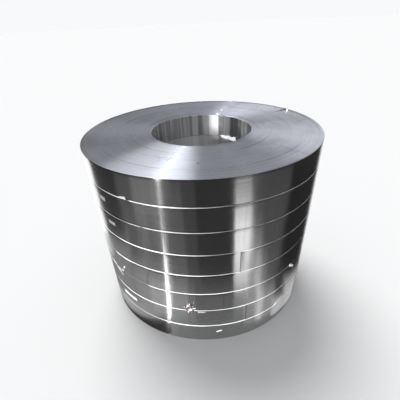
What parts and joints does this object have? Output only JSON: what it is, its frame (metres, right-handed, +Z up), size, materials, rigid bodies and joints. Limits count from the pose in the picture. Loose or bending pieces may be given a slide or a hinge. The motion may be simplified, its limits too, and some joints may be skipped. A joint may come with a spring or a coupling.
{
  "type": "stack of slit aluminium strip coils",
  "caption": "Narrow aluminium strip coils with an open bore, stacked on end on one axis as they come off a slitting line.",
  "frame": {"origin": "centre of the stack's lower face, on the axis of the bore", "axes": "+Z up along the axis of the bore; +X and +Y across the stack, the picture's camera standing towards -Y"},
  "size_m": [1.1898, 1.1899, 0.936],
  "materials": {
    "aluminium_strip": "bright rolled",
    "tape": "satin"
  },
  "bodies": {
    "root": {"slit_coil_1": "aluminium_strip", "slit_coil_2": "aluminium_strip", "slit_coil_3": "aluminium_strip", "slit_coil_4": "aluminium_strip", "slit_coil_5": "aluminium_strip", "slit_coil_6": "aluminium_strip", "slit_coil_7": "aluminium_strip", "slit_coil_8": "aluminium_strip", "tape_strip_2": "tape", "tape_strip_3": "tape", "tape_strip_7": "tape"}
  },
  "joints": []
}
